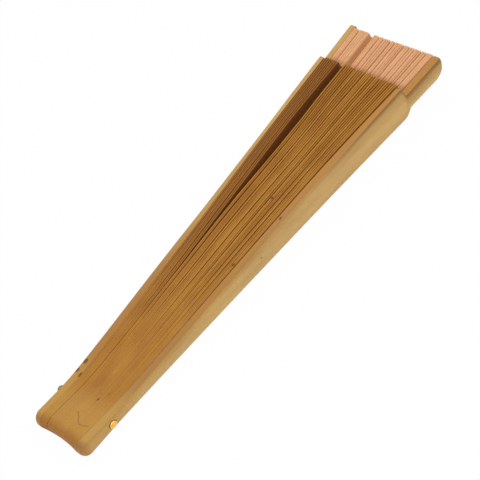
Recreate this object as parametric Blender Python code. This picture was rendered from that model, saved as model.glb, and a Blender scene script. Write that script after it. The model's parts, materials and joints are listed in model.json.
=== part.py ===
"""A wooden folding fan, closed, lying on the far edges of its sticks.

Two guards and thirty-two thin sticks turn on one rivet near the butt. A pleated cloth leaf joins
them beyond their shoulders. X runs from the butt to the tip, Y is the rivet's axis with the left
guard at +Y, and Z = 0 is the surface that the fan lies on.
"""
import math

import bmesh
import bpy
from mathutils import Vector

MM = 0.001

# Lengths along the fan, counted from the rivet axis
LENGTH = 231.9 * MM
BUTT_OVERHANG = 17.65 * MM
SHOULDER = 190.9 * MM
TIP = LENGTH - BUTT_OVERHANG
SPLAY_START = 2.6 * MM

# Heights above the table, across the sticks
RIVET_HEIGHT = 3.35 * MM
BUTT_ROUNDING = 4.2 * MM
# The butt end is hollow: the middle sticks end this much short of the guards
BUTT_HOLLOW = 1.0 * MM
TIP_LOW_AT_SHOULDER = 3.6 * MM
TIP_LOW_AT_END = 4.2 * MM
TIP_HIGH_AT_SHOULDER = 12.8 * MM
TIP_HIGH_AT_END = 13.7 * MM
# The near edge: millimetres beyond the rivet, and its height. The butt is wider than the neck after it
NEAR_EDGE = (
    (-17.6, 8.65),
    (-11.3, 8.4),
    (-6.1, 7.85),
    (-1.1, 7.3),
    (4.2, 6.8),
    (9.2, 6.6),
    (14.2, 6.7),
    (24.2, 7.25),
    (39.2, 8.2),
    (59.2, 9.75),
    (79.1, 11.2),
    (98.8, 12.6),
    (128.4, 14.7),
    (148.3, 15.75),
    (168.3, 16.5),
    (190.9, 17.1),
)

# The pile of sticks between the guards' inner faces
STICK_COUNT = 32
STICKS_BEFORE_GAP = 7
PILE_AT_RIVET = 22.6 * MM
PILE_AT_SHOULDER = 42.4 * MM
LEFT_AT_TIP = 22.05 * MM
RIGHT_AT_TIP = 22.75 * MM
BOW = 0.28
# Room for the cloth between each guard and the stick beside it
ROOM_AT_SHOULDER = 0.45 * MM
ROOM_AT_TIP = 0.5 * MM
# The gap after the seventh stick: millimetres beyond the rivet, and Y of its left and right edges
GAP_EDGES = (
    (-15.4, 7.15, 7.15),
    (6.0, 7.25, 7.25),
    (29.3, 7.35, 7.35),
    (51.5, 7.55, 7.55),
    (68.6, 7.8, 7.8),
    (78.7, 8.25, 7.95),
    (88.7, 8.7, 8.2),
    (98.7, 9.2, 8.4),
    (108.7, 9.6, 8.4),
    (118.7, 10.0, 8.2),
    (128.7, 10.5, 8.0),
    (138.7, 11.05, 7.95),
    (148.7, 11.65, 8.05),
    (157.7, 12.05, 8.4),
    (167.7, 12.35, 9.05),
    (178.7, 12.6, 9.6),
    (190.9, 12.85, 10.0),
    (214.0, 13.4, 10.6),
)

# Sticks
STICK_THICKNESS = 0.56 * MM
STICK_LIFT = 0.3 * MM
STICK_NEAR_DROP = 0.1 * MM
RIB_THICKNESS = 0.3 * MM
RIB_WIDTH = 5.0 * MM
RIB_SHORT_OF_TIP = 2.0 * MM
HOLE_RADIUS = 1.5 * MM
HOLE_STEPS = 16

# Guards: flat strips with a slightly convex outer face
GUARD_BULGE = 0.4 * MM
NEAR_CHAMFER = 0.4 * MM
FAR_CHAMFER = 0.65 * MM
BULGE_STATIONS = (0.62, 0.22, -0.22, -0.62)
# Millimetres beyond the rivet, and the thickness at a guard's near edge and far edge
LEFT_THICKNESS = (
    (-17.6, 3.0, 3.2),
    (1.2, 3.4, 3.2),
    (9.1, 3.8, 3.2),
    (39.3, 3.75, 3.2),
    (59.5, 3.5, 3.2),
    (78.7, 3.1, 3.2),
    (98.7, 2.5, 3.2),
    (128.7, 1.95, 3.2),
    (148.7, 1.9, 3.2),
    (168.7, 2.2, 3.2),
    (185.7, 2.4, 3.2),
    (190.3, 2.4, 3.3),
    (192.6, 2.8, 3.6),
    (214.0, 2.8, 3.7),
)
RIGHT_THICKNESS = (
    (-17.6, 3.3, 3.3),
    (98.7, 3.3, 3.3),
    (128.7, 3.1, 3.2),
    (148.7, 3.0, 3.2),
    (168.7, 2.6, 3.2),
    (185.7, 2.1, 3.2),
    (189.0, 1.9, 3.2),
    (191.6, 3.2, 3.3),
    (214.0, 3.2, 3.3),
)

# Leaf
CLOTH = 0.12 * MM
PLEAT_OFFSET = 0.36 * MM
RIDGE_WIDTH = 0.24 * MM
LEAF_START = SHOULDER + 2.8 * MM
LEAF_SHORT_OF_TIP = 0.3 * MM
LEAF_TO_GUARD = 0.19 * MM
PLEAT_DEPTH = 9.0 * MM

# Rivet
PIN_RADIUS = 1.2 * MM
HEAD_RADIUS = 1.85 * MM
HEAD_HEIGHT = 1.45 * MM
# The head sits in a round seat that is sunk into the right guard
SEAT_RADIUS = 2.05 * MM
SEAT_DEPTH = 0.45 * MM
HEAD_GAP = 0.08 * MM
CAP_GAP = 0.12 * MM
CAP_RADIUS = 1.8 * MM
CAP_HEIGHT = 2.7 * MM
CAP_BORE = 1.35 * MM
CAP_BORE_DEPTH = 0.9 * MM
ROUND_STEPS = 24

# The rivet axis in the fan's own frame, whose origin is the middle of the fan's length and width
RIVET_X = BUTT_OVERHANG - LENGTH / 2
PILE_MIDDLE_Y = 0.26 * MM
AXIS_POINT = Vector((RIVET_X, PILE_MIDDLE_Y, RIVET_HEIGHT))

BUTT_ANGLES = (14, 34, 58, 90)
BODY_STATIONS = (-8.0, -3.5, 1.0, 5.0, 9.0, 13.0, 19.0, 29.0, 41.0, 57.0, 77.0, 96.0, 111.0, 126.0, 141.0,
                 156.0, 173.0)
# Millimetres beyond the shoulder, and how far the far and near edges have stepped in there
SHOULDER_STEP = (
    (-3.0, 0.0, 0.0),
    (-1.6, 0.09, 0.0),
    (-0.3, 0.36, 0.05),
    (0.4, 0.64, 0.95),
    (1.8, 1.0, 1.0),
)
# The guards' steps come this much before the sticks'
LEFT_STEP_SHIFT = -0.6 * MM
RIGHT_STEP_SHIFT = -1.4 * MM
# Millimetres short of a guard's tip, how far its near and far corners are cut back, and its fullness there
TIP_ROUNDING = (
    (6.0, 0.0, 0.0, 1.0),
    (4.0, 0.0, 0.35, 1.0),
    (2.4, 0.0, 1.2, 1.0),
    (1.1, 0.05, 2.5, 0.98),
    (0.35, 0.25, 3.9, 0.94),
    (0.0, 0.8, 5.2, 0.86),
)

WOOD_EDGE = (0.45, 0.22, 0.062, 1)
WOOD_FACE = (0.50, 0.29, 0.10, 1)
LEAF_PINK = (0.72, 0.36, 0.20, 1)
BRASS = (0.86, 0.50, 0.12, 1)
DULL_METAL = (0.22, 0.17, 0.12, 1)


def clear_scene():
    for item in list(bpy.data.objects):
        bpy.data.objects.remove(item, do_unlink=True)


def material(name, colour, roughness, metallic=0.0):
    made = bpy.data.materials.new(name)
    made.use_nodes = True
    shader = made.node_tree.nodes["Principled BSDF"]
    shader.inputs["Base Color"].default_value = colour
    shader.inputs["Roughness"].default_value = roughness
    shader.inputs["Metallic"].default_value = metallic
    return made


def mix(start, end, share):
    return start + (end - start) * share


def splay(x):
    """Share of the way from the spacing at the rivet to the spacing at the shoulder."""
    share = max(0.0, (x - SPLAY_START) / (SHOULDER - SPLAY_START))
    return (1 - BOW) * share + BOW * share * share


def along_fan(x, at_rivet, at_shoulder, at_tip):
    """A sideways place that bows from the rivet to the shoulder and runs straight to the tip."""
    if x <= SHOULDER:
        return mix(at_rivet, at_shoulder, splay(x))
    return mix(at_shoulder, at_tip, (x - SHOULDER) / (TIP - SHOULDER))


def guard_side(x, side):
    """Y of a guard's inner face, side 1 for the left guard and -1 for the right."""
    at_tip = LEFT_AT_TIP if side > 0 else RIGHT_AT_TIP
    return side * along_fan(x, PILE_AT_RIVET / 2, PILE_AT_SHOULDER / 2, at_tip)


def curve(table, x, column=1):
    """The value at x of a smooth curve through a table's rows of millimetres."""
    count = len(table)
    index = 0
    while index < count - 2 and x > table[index + 1][0] * MM:
        index += 1
    slopes = []
    for k in (index, index + 1):
        before, after = table[max(0, k - 1)], table[min(count - 1, k + 1)]
        slopes.append((after[column] - before[column]) / (after[0] - before[0]))
    first, second = table[index], table[index + 1]
    length = second[0] - first[0]
    share = min(1.0, max(0.0, (x / MM - first[0]) / length))
    back = 1 - share
    value = (back * back * (1 + 2 * share) * first[column] + share * share * (3 - 2 * share) * second[column]
             + length * share * back * (back * slopes[0] - share * slopes[1]))
    return value * MM


def straight(table, x, column):
    """The value at x of the straight runs between a table's rows of millimetres."""
    for first, second in zip(table, table[1:]):
        if x <= second[0] * MM:
            break
    share = min(1.0, max(0.0, (x / MM - first[0]) / (second[0] - first[0])))
    return mix(first[column], second[column], share) * MM


def stick_side(x, index):
    """Y of the middle of a stick's thickness."""
    room = along_fan(x, 0.0, ROOM_AT_SHOULDER, ROOM_AT_TIP)
    if index < STICKS_BEFORE_GAP:
        share = (index + 0.5) / STICKS_BEFORE_GAP
        return mix(guard_side(x, 1) - room, curve(GAP_EDGES, x, 1), share)
    share = (index - STICKS_BEFORE_GAP + 0.5) / (STICK_COUNT - STICKS_BEFORE_GAP)
    return mix(curve(GAP_EDGES, x, 2), guard_side(x, -1) + room, share)


def body_top(x):
    """Height of the near edge above the table, from the butt to the shoulder."""
    return curve(NEAR_EDGE, x)


def tip_share(x):
    return (x - SHOULDER) / (TIP - SHOULDER)


def tip_low(x):
    return mix(TIP_LOW_AT_SHOULDER, TIP_LOW_AT_END, tip_share(x))


def tip_high(x):
    return mix(TIP_HIGH_AT_SHOULDER, TIP_HIGH_AT_END, tip_share(x))


def butt_stations(low, high_drop, short=0.0):
    """(x, low, high) from the round butt end to the full width."""
    centre = BUTT_ROUNDING - BUTT_OVERHANG + short
    top = body_top(centre) - high_drop
    middle = (low + top) / 2
    found = []
    for degrees in BUTT_ANGLES:
        angle = math.radians(degrees)
        reach = (top - low) / 2 * math.sin(angle)
        found.append((centre - BUTT_ROUNDING * math.cos(angle), middle - reach, middle + reach))
    return found


def body_stations(low, high_drop):
    """(x, low, high) along the tapering body."""
    return [(x * MM, low, body_top(x * MM) - high_drop) for x in BODY_STATIONS]


def shoulder_stations(low, high_drop, tip_of_low, tip_of_high, shift=0.0):
    """(x, low, high) over the rounded step from the body to the narrow part beyond it."""
    found = []
    for beyond, low_share, high_share in SHOULDER_STEP:
        x = SHOULDER + beyond * MM + shift
        bottom = mix(low, tip_of_low(x), low_share)
        top = mix(body_top(x) - high_drop, tip_of_high(x), high_share)
        found.append((x, bottom, top))
    return found


def placed(shape, name, finish):
    """Makes an object whose origin is on the rivet axis from a bmesh in fan coordinates."""
    bmesh.ops.recalc_face_normals(shape, faces=shape.faces)
    mesh = bpy.data.meshes.new(name)
    shape.to_mesh(mesh)
    shape.free()
    item = bpy.data.objects.new(name, mesh)
    item.location = AXIS_POINT
    mesh.materials.append(finish)
    bpy.context.scene.collection.objects.link(item)
    return item


def local(x, y, height):
    """A point at x beyond the rivet and at a height above the table, from the rivet axis."""
    return Vector((x, y, height - RIVET_HEIGHT))


def loft(rings):
    """A closed solid through rings of equal point counts."""
    shape = bmesh.new()
    loops = [[shape.verts.new(point) for point in ring] for ring in rings]
    count = len(loops[0])
    for first, second in zip(loops, loops[1:]):
        for k in range(count):
            following = (k + 1) % count
            shape.faces.new((first[k], first[following], second[following], second[k]))
    shape.faces.new(loops[0])
    shape.faces.new(loops[-1])
    return shape


def turned(profile, steps):
    """A solid of revolution about Y from (radius, y) points that start and end on the axis."""
    shape = bmesh.new()
    loops = []
    for radius, y in profile:
        if radius == 0:
            loops.append([shape.verts.new((0, y, 0))])
            continue
        turns = [2 * math.pi * k / steps for k in range(steps)]
        loops.append([shape.verts.new((radius * math.cos(t), y, radius * math.sin(t))) for t in turns])
    for first, second in zip(loops, loops[1:]):
        for k in range(steps):
            following = (k + 1) % steps
            corners = [first[k % len(first)], first[following % len(first)],
                       second[following % len(second)], second[k % len(second)]]
            shape.faces.new(list(dict.fromkeys(corners)))
    return shape


def hole_cutter():
    """The drill that makes the rivet hole in every stick and guard."""
    bpy.ops.mesh.primitive_cylinder_add(vertices=HOLE_STEPS, radius=HOLE_RADIUS, depth=0.08,
                                        location=AXIS_POINT, rotation=(math.pi / 2, 0, 0))
    drill = bpy.context.object
    drill.name = "rivet_drill"
    drill.hide_render = True
    drill.display_type = "WIRE"
    return drill


def seat_cutter():
    """The cutter that sinks the head's seat into the right guard."""
    bpy.ops.mesh.primitive_cylinder_add(vertices=2 * HOLE_STEPS, radius=SEAT_RADIUS, depth=2 * SEAT_DEPTH,
                                        location=AXIS_POINT + Vector((0, crest(-1), 0)),
                                        rotation=(math.pi / 2, 0, 0))
    cutter = bpy.context.object
    cutter.name = "head_seat_cutter"
    cutter.hide_render = True
    cutter.display_type = "WIRE"
    return cutter


def drilled(item, drill):
    cut = item.modifiers.new(drill.name, "BOOLEAN")
    cut.object = drill
    cut.operation = "DIFFERENCE"
    cut.solver = "EXACT"


def thickness(x, side):
    """The thickness of a guard at its near edge and at its far edge."""
    table = LEFT_THICKNESS if side > 0 else RIGHT_THICKNESS
    return straight(table, x, 1), straight(table, x, 2)


def guard_ring(x, low, high, side, fullness=1.0):
    """One cross-section of a guard: flat inner face and edges, slightly convex outer face."""
    inner = guard_side(x, side)
    near, far = [width * fullness for width in thickness(x, side)]
    middle = (low + high) / 2
    half = (high - low) / 2
    near_cut = min(NEAR_CHAMFER, half * 0.3)
    far_cut = min(FAR_CHAMFER, half * 0.3)
    outline = [(0, low), (0, high), (near - near_cut, high), (near, high - near_cut)]
    for share in BULGE_STATIONS:
        out = mix(far, near, (1 + share) / 2) + GUARD_BULGE * fullness * (1 - share * share)
        outline.append((out, middle + half * share))
    outline += [(far, low + far_cut), (far - far_cut, low)]
    return [local(x, inner + side * out, height) for out, height in outline]


def guard(name, side, finish):
    shift = LEFT_STEP_SHIFT if side > 0 else RIGHT_STEP_SHIFT
    rings = []
    for (x, low, high), fullness in zip(butt_stations(0.0, 0.0), (0.6, 0.8, 0.93, 1.0)):
        rings.append(guard_ring(x, low, high, side, fullness))
    for x, low, high in body_stations(0.0, 0.0) + shoulder_stations(0.0, 0.0, tip_low, tip_high, shift):
        rings.append(guard_ring(x, low, high, side))
    for back, near_cut, far_cut, fullness in TIP_ROUNDING:
        x = TIP - back * MM
        rings.append(guard_ring(x, tip_low(x) + far_cut * MM, tip_high(x) - near_cut * MM, side, fullness))
    return placed(loft(rings), name, finish)


def rib_low(x):
    return (tip_low(x) + tip_high(x) - RIB_WIDTH) / 2


def rib_high(x):
    return (tip_low(x) + tip_high(x) + RIB_WIDTH) / 2


def stick(name, index, finish):
    """A thin blade with a round butt, a wide body and a narrow rib for the leaf."""
    aside = stick_side(0, index) / guard_side(0, 1)
    short = BUTT_HOLLOW * (1 - aside * aside)
    stations = [(s, STICK_THICKNESS) for s in butt_stations(STICK_LIFT, STICK_NEAR_DROP, short)]
    stations += [(s, STICK_THICKNESS) for s in body_stations(STICK_LIFT, STICK_NEAR_DROP)]
    step = shoulder_stations(STICK_LIFT, STICK_NEAR_DROP, rib_low, rib_high)
    stations += [(s, STICK_THICKNESS) for s in step[:3]]
    stations += [(s, RIB_THICKNESS) for s in step[3:]]
    end = TIP - RIB_SHORT_OF_TIP
    stations.append(((end, rib_low(end), rib_high(end)), RIB_THICKNESS))
    rings = []
    for (x, low, high), thickness in stations:
        y = stick_side(x, index)
        half = thickness / 2
        rings.append([local(x, y - half, low), local(x, y - half, high),
                      local(x, y + half, high), local(x, y + half, low)])
    return placed(loft(rings), name, finish)


def pleat_line(x):
    """The leaf's cross-section at x as (y, height) points, from the left guard to the right one."""
    high = tip_high(x)
    low = high - PLEAT_DEPTH
    y = guard_side(x, 1) - LEAF_TO_GUARD
    line = [(y, low), (y, high), (y - RIDGE_WIDTH, high)]
    for index in range(STICK_COUNT):
        middle = stick_side(x, index)
        line.append((middle + PLEAT_OFFSET, low))
        line.append((middle - PLEAT_OFFSET, low))
        line.append((middle - PLEAT_OFFSET, high))
        line.append((middle - PLEAT_OFFSET - RIDGE_WIDTH, high))
    end = guard_side(x, -1) + LEAF_TO_GUARD
    line += [(end + RIDGE_WIDTH, low), (end, low), (end, high)]
    return line


def offset_line(line, distance):
    """The line moved sideways by a distance, with mitred corners."""
    points = [Vector(p) for p in line]
    moved = []
    for k, point in enumerate(points):
        before = (point - points[k - 1]).normalized() if k > 0 else None
        after = (points[k + 1] - point).normalized() if k + 1 < len(points) else None
        before = before or after
        after = after or before
        normal = Vector((-before.y, before.x)) + Vector((-after.y, after.x))
        normal.normalize()
        reach = distance / max(0.5, normal.dot(Vector((-before.y, before.x))))
        moved.append(point + normal * reach)
    return moved


def leaf(name, finish):
    """The cloth, folded into one narrow pleat for each stick."""
    rings = []
    for x in (LEAF_START, TIP - LEAF_SHORT_OF_TIP):
        line = pleat_line(x)
        sides = [offset_line(line, CLOTH / 2), offset_line(line, -CLOTH / 2)]
        rings.append([[local(x, y, height) for y, height in side] for side in sides])
    shape = bmesh.new()
    grid = [[[shape.verts.new(p) for p in side] for side in ring] for ring in rings]
    inner, outer = grid
    for k in range(len(inner[0]) - 1):
        shape.faces.new((inner[0][k], inner[0][k + 1], outer[0][k + 1], outer[0][k]))
        shape.faces.new((inner[1][k], inner[1][k + 1], outer[1][k + 1], outer[1][k]))
        shape.faces.new((inner[0][k], inner[0][k + 1], inner[1][k + 1], inner[1][k]))
        shape.faces.new((outer[0][k], outer[0][k + 1], outer[1][k + 1], outer[1][k]))
    for k in (0, len(inner[0]) - 1):
        shape.faces.new((inner[0][k], inner[1][k], outer[1][k], outer[0][k]))
    return placed(shape, name, finish)


def crest(side):
    """Y of the highest line of a guard's outer face at the rivet."""
    return guard_side(0, side) + side * (sum(thickness(0, side)) / 2 + GUARD_BULGE)


def rivet(name, finish):
    """The pin with its formed head on the right guard."""
    seat = crest(-1) + SEAT_DEPTH - HEAD_GAP
    left_end = crest(1) + CAP_GAP + CAP_BORE_DEPTH - 0.3 * MM
    profile = [(0, left_end), (PIN_RADIUS * 0.8, left_end), (PIN_RADIUS, left_end - 0.25 * MM),
               (PIN_RADIUS, seat), (HEAD_RADIUS, seat), (HEAD_RADIUS, seat - HEAD_HEIGHT * 0.7),
               (HEAD_RADIUS * 0.8, seat - HEAD_HEIGHT * 0.93), (0, seat - HEAD_HEIGHT)]
    return placed(turned(profile, ROUND_STEPS), name, finish)


def rivet_cap(name, finish):
    """The small cap closed over the pin's other end, on the left guard."""
    seat = crest(1) + CAP_GAP
    top = seat + CAP_HEIGHT
    profile = [(0, seat + CAP_BORE_DEPTH), (CAP_BORE, seat + CAP_BORE_DEPTH), (CAP_BORE, seat), (CAP_RADIUS, seat),
               (CAP_RADIUS, seat + CAP_HEIGHT * 0.55), (CAP_RADIUS * 0.7, top - CAP_HEIGHT * 0.12), (0, top)]
    return placed(turned(profile, ROUND_STEPS), name, finish)


def smooth(item, degrees):
    item.data.shade_smooth()
    item.data.set_sharp_from_angle(angle=math.radians(degrees))


def main():
    clear_scene()
    edge_wood = material("stick wood", WOOD_EDGE, 0.42)
    face_wood = material("guard wood", WOOD_FACE, 0.45)
    cloth = material("leaf cloth", LEAF_PINK, 0.85)
    brass = material("rivet brass", BRASS, 0.3, 1.0)
    dull = material("rivet cap metal", DULL_METAL, 0.5, 1.0)
    drill = hole_cutter()
    for name, side, cutters in (("left_guard", 1, [drill]), ("right_guard", -1, [drill, seat_cutter()])):
        made = guard(name, side, face_wood)
        for cutter in cutters:
            drilled(made, cutter)
        smooth(made, 30)
    for index in range(STICK_COUNT):
        made = stick(f"stick_{index + 1:02d}", index, edge_wood)
        drilled(made, drill)
    leaf("leaf", cloth)
    smooth(rivet("rivet", brass), 40)
    smooth(rivet_cap("rivet_cap", dull), 40)


main()
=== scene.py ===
"""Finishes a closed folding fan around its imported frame: guards, sticks, leaf, rivet and stage.

Sizes are in metres. X runs from the butt to the tip, Y from the right guard to the left one, and
Z up from the surface that the fan lies on.
"""

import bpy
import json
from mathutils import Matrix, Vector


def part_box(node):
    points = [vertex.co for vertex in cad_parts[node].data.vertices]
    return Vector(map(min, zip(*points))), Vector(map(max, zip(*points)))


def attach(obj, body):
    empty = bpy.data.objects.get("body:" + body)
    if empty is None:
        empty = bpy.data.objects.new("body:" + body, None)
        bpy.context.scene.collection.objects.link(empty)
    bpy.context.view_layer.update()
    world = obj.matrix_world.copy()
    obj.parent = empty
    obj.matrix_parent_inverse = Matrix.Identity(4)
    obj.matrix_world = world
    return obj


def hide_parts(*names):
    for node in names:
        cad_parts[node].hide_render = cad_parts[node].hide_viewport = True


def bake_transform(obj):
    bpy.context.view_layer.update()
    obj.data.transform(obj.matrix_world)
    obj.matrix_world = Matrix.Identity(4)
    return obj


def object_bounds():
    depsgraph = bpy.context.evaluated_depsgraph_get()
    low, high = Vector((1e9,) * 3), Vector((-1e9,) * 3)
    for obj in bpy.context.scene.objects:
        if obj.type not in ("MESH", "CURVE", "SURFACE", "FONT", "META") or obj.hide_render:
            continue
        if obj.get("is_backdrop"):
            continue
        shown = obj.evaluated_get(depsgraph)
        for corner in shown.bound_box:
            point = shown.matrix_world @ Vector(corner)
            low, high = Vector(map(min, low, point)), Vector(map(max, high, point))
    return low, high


bl_info = {
    "name": "Folding Fan",
    "version": (1, 0, 0),
    "blender": (4, 5, 0),
    "location": "View3D > Sidebar > Fan",
    "description": "Finishes the guards, sticks, leaf and rivet of a folding fan",
    "category": "Object",
}

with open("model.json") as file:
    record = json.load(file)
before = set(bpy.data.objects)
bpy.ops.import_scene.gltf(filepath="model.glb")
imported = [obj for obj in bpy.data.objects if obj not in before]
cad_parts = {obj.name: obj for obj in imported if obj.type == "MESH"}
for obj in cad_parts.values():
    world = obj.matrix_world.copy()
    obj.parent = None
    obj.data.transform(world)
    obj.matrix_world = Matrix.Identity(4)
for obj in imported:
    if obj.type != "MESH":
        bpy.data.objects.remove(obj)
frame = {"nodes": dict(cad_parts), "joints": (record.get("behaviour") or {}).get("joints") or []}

import json
import math
import random

import bpy
import numpy as np
from bpy.props import FloatProperty, FloatVectorProperty, PointerProperty
from mathutils import Vector

CAD_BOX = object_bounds()
MM = 0.001
RIVET = Vector(frame["joints"][0]["pos_m"])
STICKS = sorted(name for name in frame["nodes"] if name.startswith("stick_"))
# The wide gap in the pile follows this many sticks
GAP_AFTER = 7
LEFT_GROUP = STICKS[:GAP_AFTER]
INTERVALS = len(STICKS) + 1
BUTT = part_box("left_guard")[0].x
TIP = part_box("left_guard")[1].x


def cross_sections(node, fewest):
    """Rows of (x, lowest y, lowest z, highest y, highest z), one for each ring of a lofted node."""
    corners = np.array([corner.co for corner in frame["nodes"][node].data.vertices])
    places = np.round(corners[:, 0], 5)
    rows = []
    for x in np.unique(places):
        ring = corners[places == x]
        if len(np.unique(np.round(ring[:, 1:], 5), axis=0)) >= fewest:
            rows.append((x, *ring.min(axis=0)[1:], *ring.max(axis=0)[1:]))
    return np.array(rows)


def line_through(rows, column, start, end):
    """(slope, height) of the straight line that a column follows between two places along the fan."""
    part = rows[(rows[:, 0] > start) & (rows[:, 0] < end)]
    return np.polyfit(part[:, 0], part[:, column], 1)


GUARDS = {"left_guard": 1, "right_guard": -1}
GUARD_ROWS = {name: cross_sections(name, fewest=10) for name in GUARDS}
STICK_ROWS = {name: cross_sections(name, fewest=2) for name in STICKS}
SHOULDER = RIVET.x + 190.9 * MM
# Where a guard's body begins beyond its rounded butt end, and the straight part of its tip
BODY_START = RIVET.x - 13.5 * MM
TIP_PART = (SHOULDER + 0.3 * MM, TIP - 5.5 * MM)
RIDGE_LINE = line_through(GUARD_ROWS["left_guard"], 4, *TIP_PART)

# Millimetres beyond the rivet, and the thickness at a guard's near edge and at its far edge
THICKNESS = {
    "left_guard": (
        (-17.6, 3.0, 3.2), (1.2, 3.4, 3.2), (9.1, 3.8, 3.2), (39.3, 3.75, 3.2), (59.5, 3.5, 3.2),
        (78.7, 3.1, 3.2), (98.7, 2.5, 3.2), (128.7, 1.95, 3.2), (148.7, 1.9, 3.2), (168.7, 2.2, 3.2),
        (185.7, 2.4, 3.2), (190.3, 2.4, 3.3), (191.3, 2.8, 3.6), (214.0, 2.8, 3.7)),
    "right_guard": (
        (-17.6, 3.3, 3.3), (98.7, 3.3, 3.3), (128.7, 3.1, 3.2), (148.7, 3.0, 3.2), (168.7, 2.6, 3.2),
        (185.7, 2.1, 3.2), (189.0, 1.9, 3.2), (190.0, 3.2, 3.3), (214.0, 3.2, 3.3)),
}
# Lamps: name, place, size and power. All of them shine on the origin.
LAMPS = (
    ("key lamp", (-0.5, -0.7, 1.1), 0.6, 6.8),
    ("fill lamp", (0.7, -0.6, 0.7), 0.8, 3.2),
    ("back lamp", (0.2, 0.9, 0.8), 0.7, 2.2),
)


def length_property(name, description, millimetres, precision=5):
    return FloatProperty(name=name, description=description, default=millimetres * MM, unit="LENGTH",
                         precision=precision)


def colour_property(name, description, *channels):
    return FloatVectorProperty(name=name, description=description, subtype="COLOR", size=3, min=0, max=1,
                               default=channels)


class FanSizes(bpy.types.PropertyGroup):
    """Sizes of the finish that the frame doesn't fix."""

    butt_rounding: length_property("Butt rounding", "Length of the rounded butt end", 4.2, 4)
    tip_rounding: length_property("Tip rounding", "Radius of a guard's far corner at the tip", 6.0, 4)
    guard_bulge: length_property("Guard bulge", "How far a guard's outer face swells out", 0.4)
    guard_rounding: length_property("Guard rounding", "Rounding of a guard's outer far edge", 1.0)
    seat_radius: length_property("Seat radius", "Radius of the sunk seat of the rivet's head", 2.05)
    seat_depth: length_property("Seat depth", "Depth of the sunk seat of the rivet's head", 0.45)
    stick_thickness: length_property(
        "Stick thickness", "Thickness of a stick where the sticks stand apart", 0.58)
    stick_room: length_property(
        "Stick room", "Room between neighbouring sticks in the tight lower part", 0.03)
    stick_rounding: length_property("Stick rounding", "Rounding of a stick's edges near its shoulder", 0.12)
    cloth: length_property("Cloth", "Thickness of the leaf's cloth", 0.12)
    pleat_depth: length_property("Pleat depth", "Depth of the leaf's pleats", 10.65, 4)
    valley_width: length_property("Valley width", "Width of an ordinary fold between two pleats", 0.5)


class FanColours(bpy.types.PropertyGroup):
    """Colours of the finish."""

    stick_light: colour_property("Light stick", "Lightest colour of the sticks' edges", 0.51, 0.24, 0.036)
    stick_dark: colour_property("Dark stick", "Darkest colour of the sticks' edges", 0.36, 0.136, 0.013)
    stick_red: colour_property(
        "Red stick", "Colour of the sticks beside the left guard", 0.27, 0.098, 0.016)
    stick_side: colour_property("Stick side", "Colour of the sticks' flat sides", 0.28, 0.098, 0.018)
    # On the guards' near edges near the butt this colour is also a painted highlight
    butt_gold: colour_property(
        "Golden butt", "Colour of the well varnished wood near the butt", 0.53, 0.29, 0.062)
    # A stain with painted shade of the rounded butt end
    butt_red: colour_property("Reddish butt end", "Colour of the stained butt end", 0.33, 0.12, 0.03)
    guard_light: colour_property("Light guard", "Lightest colour of the guards' faces", 0.62, 0.405, 0.135)
    guard_dark: colour_property("Dark guard", "Colour of the guards' darker grain", 0.48, 0.28, 0.088)
    guard_edge: colour_property("Guard edge", "Colour of the guards' varnished edges", 0.43, 0.2, 0.042)
    mark: colour_property("Mark", "Colour of the small dark marks in the wood", 0.12, 0.04, 0.005)
    leaf: colour_property("Leaf", "Colour of the cloth", 0.8, 0.45, 0.235)
    # Painted shade of the cloth deep in its folds
    leaf_fold_shade: colour_property("Leaf fold", "Colour of the cloth deep in its folds", 0.64, 0.3, 0.125)
    brass: colour_property("Brass", "Colour of the rivet's head", 0.98, 0.56, 0.13)
    tarnish: colour_property("Tarnish", "Colour of the dull cap", 0.2, 0.15, 0.09)


class FanStage(bpy.types.PropertyGroup):
    """Camera, light and floor."""

    camera_place: FloatVectorProperty(
        name="Camera place", description="Where the camera stands", subtype="TRANSLATION",
        size=3, default=(-0.19135, -0.33836, 0.44614))
    camera_turn: FloatVectorProperty(
        name="Camera turn", description="How the camera is turned", subtype="EULER", size=3,
        default=(math.radians(38.243), math.radians(16.505), math.radians(-49.208)))
    camera_lens: FloatProperty(
        name="Focal length", description="The camera's focal length in millimetres",
        default=102.83, min=10)
    daylight: FloatProperty(
        name="Daylight", description="Strength of the even light all round",
        default=0.50, min=0)
    floor_size: FloatProperty(
        name="Floor size", description="Side of the square floor", default=6.0, unit="LENGTH")


class Value:
    """A value that varies over a surface. Sums and products of values add Math nodes."""

    def __init__(self, recipe, socket):
        self.recipe = recipe
        self.socket = socket

    def maths(self, operation, *terms):
        return self.recipe.node("ShaderNodeMath", {"operation": operation}, dict(enumerate(terms)))

    def __add__(self, other):
        return self.maths("ADD", self, other)

    def __radd__(self, other):
        return self.maths("ADD", other, self)

    def __sub__(self, other):
        return self.maths("SUBTRACT", self, other)

    def __rsub__(self, other):
        return self.maths("SUBTRACT", other, self)

    def __mul__(self, other):
        return self.maths("MULTIPLY", self, other)

    def __rmul__(self, other):
        return self.maths("MULTIPLY", other, self)

    def __truediv__(self, other):
        return self.maths("DIVIDE", self, other)

    def __pow__(self, other):
        return self.maths("POWER", self, other)


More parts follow.
